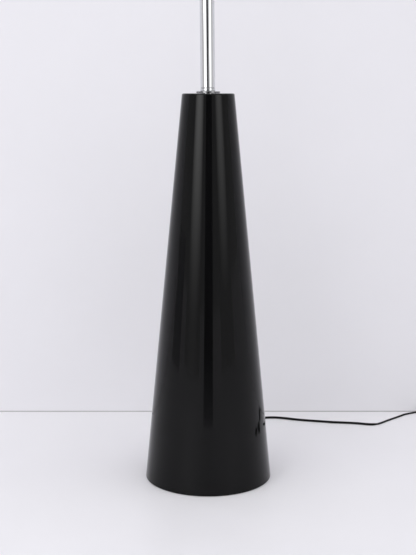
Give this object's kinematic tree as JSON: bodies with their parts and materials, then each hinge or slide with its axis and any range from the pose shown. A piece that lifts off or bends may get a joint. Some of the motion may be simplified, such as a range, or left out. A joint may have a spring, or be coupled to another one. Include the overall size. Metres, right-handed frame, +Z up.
{
  "type": "arc floor lamp",
  "caption": "Arc floor lamp: tall black cone base, chrome stem, telescoping arched arm, tilting dome shade, flat cord with foot switch.",
  "frame": {"origin": "centre of the underside of the floor pad", "axes": "+Z up the base's axis; the arm reaches out towards -X; the cord leaves the base towards +Y"},
  "size_m": [1.8113, 0.5542, 1.8447],
  "materials": {
    "cone_lacquer": "high gloss black lacquer",
    "shade_lacquer": "gloss black outside, white inside",
    "tube_chrome": "polished chrome",
    "fitting_chrome": "polished chrome",
    "plain_steel": "zinc plated",
    "brass": "plain",
    "bulb_metal": "nickel plated",
    "bulb_opal": "opal diffuser of an LED bulb",
    "concrete": "cast",
    "nylon": "natural nylon",
    "holder_plastic": "moulded thermoplastic",
    "knob_plastic": "satin",
    "switch_plastic": "moulded",
    "pad_rubber": "matte",
    "gland_rubber": "matte",
    "cord_vinyl": "satin vinyl"
  },
  "bodies": {
    "base": {"floor_pad": "pad_rubber", "base_plate": "plain_steel", "plate_screw_1": "plain_steel", "plate_screw_2": "plain_steel", "plate_screw_3": "plain_steel", "base_ballast": "concrete", "tie_rod": "plain_steel", "ballast_washer": "plain_steel", "ballast_nut": "plain_steel", "base_cone": "cone_lacquer", "collar_washer": "fitting_chrome", "stem_socket": "plain_steel", "lower_bush": "nylon", "upper_bush": "nylon", "cord_gland": "gland_rubber", "base_lead": "cord_vinyl", "lamp_cord": "cord_vinyl", "plug_cord": "cord_vinyl", "cord_coil": "cord_vinyl", "plug_tail": "cord_vinyl", "cord_tie": "gland_rubber", "switch_base": "switch_plastic", "switch_cover": "switch_plastic", "switch_module": "holder_plastic", "plug_body": "switch_plastic", "plug_pin_left": "bulb_metal", "plug_pin_right": "bulb_metal"},
    "stem": {"stem_spigot": "fitting_chrome", "stem_tube": "tube_chrome", "clamp_collar": "fitting_chrome"},
    "clamp_screw": {"clamp_screw": "plain_steel", "clamp_knob": "knob_plastic"},
    "arm": {"arm_tube": "tube_chrome", "arm_lead": "cord_vinyl", "arm_guide": "nylon", "arm_knuckle": "fitting_chrome"},
    "head": {"shade_yoke": "fitting_chrome", "tilt_pin": "plain_steel", "holder_nipple": "plain_steel", "head_lead": "cord_vinyl", "shade_cap": "fitting_chrome", "shade": "shade_lacquer", "shade_nut": "brass", "holder_cap": "holder_plastic", "holder_body": "holder_plastic", "holder_screw_shell": "brass", "centre_contact": "brass", "bulb_cap": "bulb_metal", "bulb_glass": "bulb_opal"},
    "tilt_knob": {"tilt_knob": "knob_plastic"},
    "foot_button": {"switch_button": "switch_plastic"}
  },
  "joints": [
    {"name": "stem_swivel", "type": "hinge", "parent": "base", "child": "stem", "pos_m": [0, 0, 0.615], "axis": [-0.0099, 0, 1], "range_deg": [-170, 170]},
    {"name": "clamp_turn", "type": "hinge", "parent": "stem", "child": "clamp_screw", "pos_m": [-0.0057, 0, 1.188], "axis": [1, 0, 0.0099], "range_deg": [0, 360]},
    {"name": "height_slide", "type": "slide", "parent": "stem", "child": "arm", "axis": [-0.0099, 0, 1], "range_m": [0, 0.15]},
    {"name": "shade_tilt", "type": "hinge", "parent": "arm", "child": "head", "pos_m": [-1.1103, 0, 1.5656], "axis": [0, 1, 0], "range_deg": [-45, 45]},
    {"name": "tilt_knob_turn", "type": "hinge", "parent": "head", "child": "tilt_knob", "pos_m": [-1.1103, 0, 1.5656], "axis": [0, 1, 0], "range_deg": [0, 360]},
    {"name": "foot_press", "type": "slide", "parent": "base", "child": "foot_button", "axis": [0, 0, 1], "range_m": [-0.003, 0], "stiffness_N_per_m": 600, "springref_m": 0.003}
  ]
}
